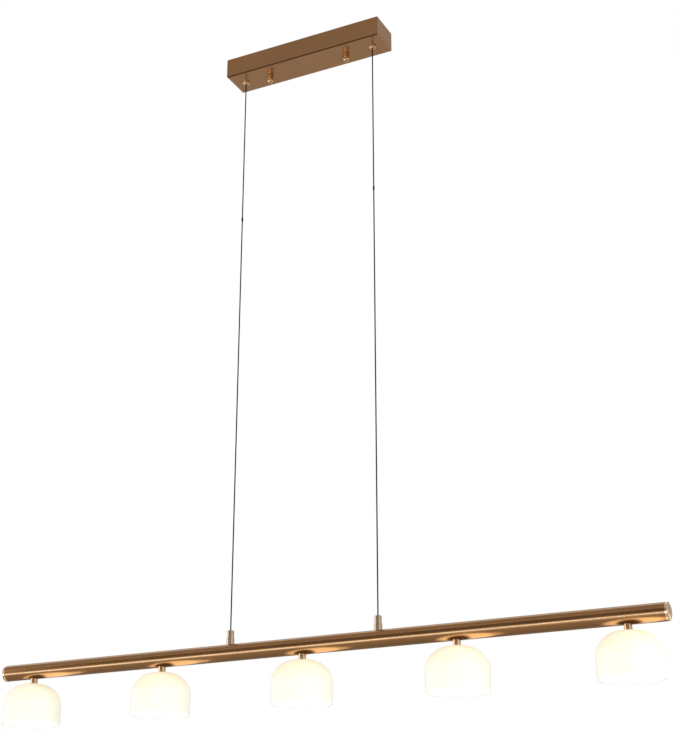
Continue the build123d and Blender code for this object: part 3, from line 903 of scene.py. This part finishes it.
@dataclass
class Photograph:
    """The camera and the soft studio round the pendant."""

    eye: Place = (1.0821, -2.0256, -1.5659)
    turn: float = 0.4642  # to the left, in radians
    tilt: float = 0.3779  # upwards, in radians
    focal: float = 1422.6  # in pixels of the photograph
    frame_height: float = 733.0  # in the same pixels
    sensor: float = 36.0
    farthest: float = 50.0
    sky_light: float = 0.42  # strength of the white surroundings on dull surfaces
    middle: Place = (0.0, 0.0, -0.9)
    floor_reach: float = 6.0
    floor_height: float = -2.4
    floor_paint: Colour = (0.82, 0.81, 0.80)
    floor_shine: Colour = (0.12, 0.12, 0.12)
    sheet_roughness: float = 0.9
    strip_aim: float = -0.4  # where along the bar the front strip aims
    strip_colour: Colour = (0.75, 1.0, 1.4)

    def set_camera(self) -> None:
        """Stand the camera where the photograph was taken."""
        data = bpy.data.cameras.new("Camera")
        data.sensor_width = self.sensor
        data.lens = self.focal / self.frame_height * self.sensor
        data.clip_end = self.farthest
        camera = bpy.data.objects.new("Camera", data)
        camera.location = self.eye
        camera.rotation_euler = (math.pi / 2.0 + self.tilt, 0.0, self.turn)
        bpy.context.scene.collection.objects.link(camera)
        bpy.context.scene.camera = camera

    def set_world(self) -> None:
        """Show white to the camera, to metal and to glass, and light the pendant softly."""
        world = bpy.data.worlds.new("Studio")
        bpy.context.scene.world = world
        world.use_nodes = True
        world.node_tree.nodes.clear()
        graph = Graph(world.node_tree)
        rays = graph.add("ShaderNodeLightPath").outputs
        seen = graph.math("MAXIMUM", rays["Is Camera Ray"], rays["Is Glossy Ray"])
        seen = graph.math("MAXIMUM", seen, rays["Is Transmission Ray"], clamp=True)
        strength = graph.span(seen, 0.0, 1.0, self.sky_light, 1.0)
        sky = graph.add("ShaderNodeBackground", {"Color": WHITE, "Strength": strength})
        graph.add("ShaderNodeOutputWorld", {"Surface": sky.outputs[0]})

    def stage_sheet(
        self, name: str, corners: Sequence[Vector], colour: Colour, shown: bool, shine: Colour
    ) -> None:
        """Stand a flat sheet in the studio, as the floor or as a card.

        Args:
            name: Name of the sheet.
            corners: Its corners in order.
            colour: The colour of its paint.
            shown: Whether it is seen from above, as the floor is, or shows in reflections alone.
            shine: The light that it gives by itself.
        """
        mesh = bpy.data.meshes.new(name)
        mesh.from_pydata([tuple(corner) for corner in corners], [], [tuple(range(len(corners)))])
        obj = bpy.data.objects.new(name, mesh)
        bpy.context.scene.collection.objects.link(obj)
        made = bpy.data.materials.new(name)
        made.use_nodes = True
        shader = made.node_tree.nodes["Principled BSDF"]
        shader.inputs["Base Color"].default_value = (*colour, 1.0)
        shader.inputs["Roughness"].default_value = self.sheet_roughness
        shader.inputs["Specular IOR Level"].default_value = 0.0
        shader.inputs["Emission Color"].default_value = (*shine, 1.0)
        shader.inputs["Emission Strength"].default_value = 1.0
        if shown:
            graph = Graph(made.node_tree)
            under = graph.add("ShaderNodeNewGeometry").outputs["Backfacing"]
            made.node_tree.links.new(graph.math("SUBTRACT", 1.0, under), shader.inputs["Alpha"])
        mesh.materials.append(made)
        for way in ("camera", "diffuse", "shadow", "transmission"):
            setattr(obj, f"visible_{way}", shown)

    def set_studio(self) -> None:
        """Build the floor, the cards and the lamps."""
        reach, depth = self.floor_reach, self.floor_height
        floor = [
            Vector((-reach, -reach, depth)), Vector((reach, -reach, depth)),
            Vector((reach, reach, depth)), Vector((-reach, reach, depth)),
        ]
        self.stage_sheet("Floor", floor, self.floor_paint, True, self.floor_shine)
        bar_height = Extent.of("bar_tube").z
        for card in CARDS:
            self.stage_sheet(card.name, card.corners(bar_height), card.paint, False, card.shine)
        for lamp in self.lamps(bar_height):
            lamp.hang()

    def lamps(self, bar_height: float) -> list[Softbox]:
        """Set out the lamps round the pendant.

        Args:
            bar_height: Height of the bar's axis.

        Returns:
            The lamps.
        """
        bar = (self.strip_aim, 0.0, bar_height)
        return [
            Softbox("Right box", (3.0, -0.4, -0.5), self.middle, (2.2, 2.2), 46.0),
            Softbox("Left box", (-3.1, -1.2, -0.6), self.middle, (2.0, 1.8), 17.0, reflected=True),
            Softbox(
                "Front strip", (-1.3, -2.4, -1.86), bar, (4.6, 0.42), 20.0,
                colour=self.strip_colour, reflected=True, scattered=False,
            ),
            Softbox("Front fill", (0.2, -3.0, -1.2), self.middle, (2.2, 1.8), 20.0),
            Softbox("Low fill", (0.0, -0.6, -2.3), (0.0, 0.0, 0.0), (2.0, 1.4), 6.0),
        ]


# ---------------------------------------------------------------- the pendant's sub-assemblies


@dataclass
class HangingCord:
    """One taut cord with the clip on it."""

    side: Side
    groove: float = 0.15 * MM
    groove_offset: float = 1.2 * MM
    edge: float = 0.35 * MM
    clearance: float = 0.02 * MM
    clip_segments: int = 40
    round_steps: int = 6
    line_steps: int = 24

    def build(self) -> None:
        """Draw the cord as a straight smooth line between its turning points."""
        solid = Extent.of(f"cord_{self.side.label}")
        clip = self.build_clip(solid.radius)
        top, foot = solid.high.z - solid.radius, solid.low.z + solid.radius
        data = bpy.data.curves.new(f"Cord {self.side.label}", "CURVE")
        data.dimensions = "3D"
        data.bevel_depth = solid.radius
        data.bevel_resolution = self.round_steps
        data.use_fill_caps = True
        spline = data.splines.new("NURBS")
        heights = (top, (top + foot) / 2.0, foot)
        spline.points.add(len(heights) - 1)
        for point, height in zip(spline.points, heights):
            point.co = (solid.x, 0.0, height, 1.0)
        spline.order_u = len(heights)
        spline.use_endpoint_u = True
        spline.resolution_u = self.line_steps
        cord = bpy.data.objects.new(f"cord_line_{self.side.label}", data)
        bpy.context.scene.collection.objects.link(cord)
        dressed(cord, CORD_SHEATH, f"hanging_cord_{self.side.label}", [f"cord_{self.side.label}"])
        solid.x

    def build_clip(self, cord_radius: float) -> bpy.types.Object:
        """Turn the clip: a short sleeve with two grooves.

        Args:
            cord_radius: Radius of the cord inside it.

        Returns:
            The clip.
        """
        solid = Extent.of(f"cord_clip_{self.side.label}")
        outer, bore, edge, groove = solid.radius, cord_radius + self.clearance, self.edge, self.groove
        low, high = solid.low.z, solid.high.z
        profile = [(bore, low), (outer - edge, low), (outer, low + edge)]
        for middle in (solid.z - self.groove_offset, solid.z + self.groove_offset):
            profile += [
                (outer, middle - 2 * groove), (outer - groove, middle - groove),
                (outer - groove, middle + groove), (outer, middle + 2 * groove),
            ]
        profile += [(outer, high - edge), (outer - edge, high), (bore, high)]
        clip = lathe(f"clip_{self.side.label}", profile, at(solid.x), self.clip_segments)
        body, node = f"hanging_cord_{self.side.label}", f"cord_clip_{self.side.label}"
        return dressed(clip, CLIP_PLASTIC, body, [node])


@dataclass
class Bar:
    """The round bar: its tube and two turned end caps."""

    wall: float = 1.2 * MM
    ring: float = 4.2 * MM
    dome: float = 3.2 * MM
    plug: float = 9.0 * MM
    bevel: float = 0.4 * MM
    plug_gap: float = 0.05 * MM
    dome_round: float = 0.3 * MM
    dome_steps: int = 16
    segments: int = 96

    def build(self) -> None:
        """Turn the tube and both caps."""
        tube = Extent.of("bar_tube")
        half, radius, bevel = tube.high.x, tube.radius, self.bevel
        bore = radius - self.wall
        profile = [
            (bore, -half), (radius - bevel, -half), (radius, -half + bevel),
            (radius, half - bevel), (radius - bevel, half), (bore, half),
        ]
        along = Matrix.Translation((0.0, 0.0, tube.z)) @ Matrix.Rotation(math.pi / 2.0, 4, "Y")
        dressed(lathe("bar_skin", profile, along, self.segments), BAR_BRASS, "bar", ["bar_tube"])
        for side in Side:
            self.build_cap(side, tube)

    def build_cap(self, side: Side, tube: Extent) -> None:
        """Turn one end cap.

        Args:
            side: Which end it closes.
            tube: The tube that it closes.
        """
        radius, bevel = tube.radius, self.bevel
        inner = radius - self.wall - self.plug_gap
        ball = (radius**2 + self.dome**2) / (2.0 * self.dome)
        top, reach = self.ring + self.dome, math.degrees(math.asin(radius / ball))
        softened = self.dome_round / radius * 2.0
        dome = arc((0.0, top - ball), ball, 90.0 - reach * (1.0 - softened), 90.0, self.dome_steps)
        dome[-1] = (0.0, top)
        profile = [(0.0, -self.plug), (inner - bevel, -self.plug), (inner, -self.plug + bevel)]
        profile += [(inner, 0.0), (radius - bevel, 0.0), (radius, bevel)]
        profile += [(radius, self.ring - self.dome_round), *dome]
        place = Matrix.Translation((side.value * tube.high.x, 0.0, tube.z))
        place = place @ Matrix.Rotation(side.value * math.pi / 2.0, 4, "Y")
        cap = lathe(f"cap_{side.label}", profile, place, self.segments, closed=False)
        dressed(cap, CAP_BRASS, "bar", [f"end_cap_{side.label}"])


class GlassFace(Enum):
    """The faces of a shade's glass, by the place of their finish."""

    OUTSIDE = 0
    LINING = 1
    RIM = 2


@dataclass
class Lamp:
    """One lamp under the bar: its neck, opal shade and bulb."""

    number: int
    glass: float = 3.0 * MM
    crown: float = 86.0 * MM
    shoulder: float = 38.0 * MM
    seat: float = 9.0 * MM
    hole: float = 5.4 * MM
    rim_inset: float = 0.6 * MM
    neck_bore: float = 5.05 * MM
    neck_edge: float = 0.5 * MM
    seat_gap: float = 0.02 * MM
    bulb_wall: float = 1.0 * MM
    bulb_hole: float = 3.05 * MM
    bulb_edge: float = 1.2 * MM
    tip_angle: float = -88.0  # where the bulb's round end meets its tip, in degrees
    crown_steps: int = 16
    shoulder_steps: int = 26
    wall_steps: int = 10
    rim_steps: int = 12
    edge_steps: int = 5
    tip_steps: int = 14
    shade_segments: int = 144
    neck_segments: int = 64
    bulb_segments: int = 48

    def build(self) -> None:
        """Build every piece of the lamp that shows."""
        self.build_shade()
        self.build_neck()
        self.build_bulb()

    def glass_face(self, solid: Extent, depth: float) -> list[Point]:
        """Draw one face of the shade's glass from the hole to the rim.

        Args:
            solid: The shade's box.
            depth: How deep the face lies under the outer one.

        Returns:
            Its points, with heights counted from the shade's top.
        """
        wide = solid.radius
        crown_z = -math.sqrt(self.crown**2 - self.seat**2)
        centre_x = wide - self.shoulder
        centre_z = crown_z + math.sqrt((self.crown - self.shoulder) ** 2 - centre_x**2)
        meet = math.degrees(math.atan2(centre_z - crown_z, centre_x))
        crown_now = self.crown - depth
        start = math.degrees(math.asin((-depth - crown_z) / crown_now))
        rim_z = solid.low.z - solid.high.z + self.glass / 2.0
        points = [(self.hole, -depth)]
        points += arc((0.0, crown_z), crown_now, start, meet, self.crown_steps)
        points += arc((centre_x, centre_z), self.shoulder - depth, meet, 0.0, self.shoulder_steps)[1:]
        for step in range(1, self.wall_steps + 1):
            share = step / self.wall_steps
            points.append((wide - depth - self.rim_inset * share, centre_z + (rim_z - centre_z) * share))
        return points

    def build_shade(self) -> None:
        """Turn the opal shade with its flat seat and fire-rounded rim, and finish its three faces."""
        solid = Extent.of(f"shade_{self.number}")
        outer, inner = self.glass_face(solid, 0.0), self.glass_face(solid, self.glass)
        middle = ((outer[-1][0] + inner[-1][0]) / 2.0, outer[-1][1])
        rim = arc(middle, self.glass / 2.0, 0.0, -180.0, self.rim_steps)[1:-1]
        profile, place = [*outer, *rim, *reversed(inner)], at(solid.x, solid.high.z)
        shade = lathe(f"opal_shade_{self.number}", profile, place, self.shade_segments)
        dressed(shade, OPAL, "bar", [f"shade_{self.number}"])
        for inside in (OPAL_LINING, OPAL_RIM):
            shade.data.materials.append(inside.material())
        for face in shade.data.polygons:
            face.material_index = self.face_of_glass(face, solid).value

    def face_of_glass(self, face: bpy.types.MeshPolygon, solid: Extent) -> GlassFace:
        """Tell which face of the glass a small facet belongs to.

        Args:
            face: The facet.
            solid: The shade's box.

        Returns:
            The glass's face.
        """
        outward = Vector((face.center.x - solid.x, face.center.y, face.center.z - solid.low.z))
        if face.normal.dot(outward) >= 0.0:
            return GlassFace.OUTSIDE
        return GlassFace.RIM if face.center.z < solid.low.z + self.glass / 2.0 else GlassFace.LINING

    def build_neck(self) -> None:
        """Turn the neck, saddled under the bar, with a softly rounded foot."""
        solid, bar = Extent.of(f"neck_{self.number}"), Extent.of("bar_tube")
        outer, foot, edge = solid.radius, solid.low.z, self.neck_edge
        profile = [(self.neck_bore, None), (self.neck_bore, foot)]
        profile += arc((outer - edge, foot + edge), edge, -90.0, 0.0, self.edge_steps)
        profile += [(outer, None)]

        def under_bar(y: float) -> float:
            """Height of the bar's underside at a distance along Y."""
            return bar.z - math.sqrt((bar.radius + self.seat_gap) ** 2 - y**2)

        name = f"neck_turned_{self.number}"
        neck = lathe(name, profile, at(solid.x), self.neck_segments, under_bar)
        dressed(neck, TURNED_BRASS, "bar", [f"neck_{self.number}"])

    def build_bulb(self) -> None:
        """Blow the frosted bulb with its round end."""
        solid = Extent.of(f"bulb_glass_{self.number}")
        radius, top, foot = solid.radius, solid.high.z, solid.low.z
        edge, wall, centre = self.bulb_edge, self.bulb_wall, (0.0, foot + radius)
        profile = [(self.bulb_hole, top)]
        profile += arc((radius - edge, top - edge), edge, 90.0, 0.0, self.edge_steps)
        profile += arc(centre, radius, 0.0, self.tip_angle, self.tip_steps)
        profile += [(0.0, foot), (0.0, foot + wall)]
        profile += reversed(arc(centre, radius - wall, 0.0, self.tip_angle, self.tip_steps))
        profile += [(radius - wall, top - wall), (self.bulb_hole, top - wall)]
        bulb = lathe(f"bulb_blown_{self.number}", profile, at(solid.x), self.bulb_segments)
        dressed(bulb, FROSTED_BULB, f"bulb_{self.number}", [f"bulb_glass_{self.number}"])


@dataclass
class CapNut:
    """A long cap nut under the canopy: barrel, groove and domed end."""

    side: Side
    barrel: float = 10.4 * MM
    groove: float = 0.5 * MM
    groove_width: float = 1.0 * MM
    dome: float = 5.6 * MM
    bore: float = 2.05 * MM
    bore_depth: float = 11.4 * MM
    edge: float = 0.15 * MM
    dome_steps: int = 14
    segments: int = 64

    def build(self) -> None:
        """Turn the nut with crisp steps and a smooth dome."""
        solid = Extent.of(f"cap_nut_{self.side.label}")
        radius, top, groove, edge = solid.radius, solid.high.z, self.groove, self.edge
        foot = top - self.barrel
        dome_top = foot - self.groove_width
        profile = [(0.0, top - self.bore_depth), (self.bore, top - self.bore_depth), (self.bore, top)]
        profile += [(radius - groove, top), (radius, top - groove), (radius, foot + edge)]
        profile += [(radius - edge, foot), (radius - groove, foot)]
        profile += [(radius - groove, dome_top), (radius, dome_top)]
        round_off = self.dome - edge
        centre = (radius - round_off, solid.low.z + round_off)
        profile += arc(centre, round_off, 0.0, -90.0, self.dome_steps)
        profile += [(0.0, solid.low.z)]
        name = f"long_nut_{self.side.label}"
        nut = lathe(name, profile, at(solid.x), self.segments, closed=False)
        dressed(nut, TURNED_BRASS, f"cap_nut_{self.side.label}", [f"cap_nut_{self.side.label}"])


@dataclass
class CarriedPieces:
    """The construction pieces that keep their own shape and get a finish."""

    finishes: dict[str, Finish] = field(default_factory=lambda: {f.slot: f for f in ALL_FINISHES})
    paler: tuple[str, ...] = (
        "stem_base_left", "stem_base_right", "cord_grip_left", "cord_grip_right",
    )

    def dress(self, frame: dict[str, Any]) -> None:
        """Give every carried piece the finish of its slot.

        Args:
            frame: What the frame holds.
        """
        slots = {part["node"]: part["material_slot"] for part in frame["record"]["subparts"]}
        for name, obj in frame["nodes"].items():
            finish = GRIP_BRASS if name in self.paler else self.finishes[slots[name]]
            obj.data.materials.clear()
            obj.data.materials.append(finish.material())
            log.info("%s is finished as %s", name, finish.name)


def main() -> None:
    """Build the pendant's looks in order."""
    logging.basicConfig(level=logging.INFO, format="%(message)s")
    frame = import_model()
    bpy.context.scene.view_settings.view_transform = "Standard"
    photograph = Photograph()
    photograph.set_camera()
    for side in Side:
        HangingCord(side).build()
    photograph.set_world()
    photograph.set_studio()
    CarriedPieces().dress(frame)
    Bar().build()
    for number in range(1, LAMP_COUNT + 1):
        Lamp(number).build()
    for side in Side:
        CapNut(side).build()


if __name__ == "__main__":
    main()
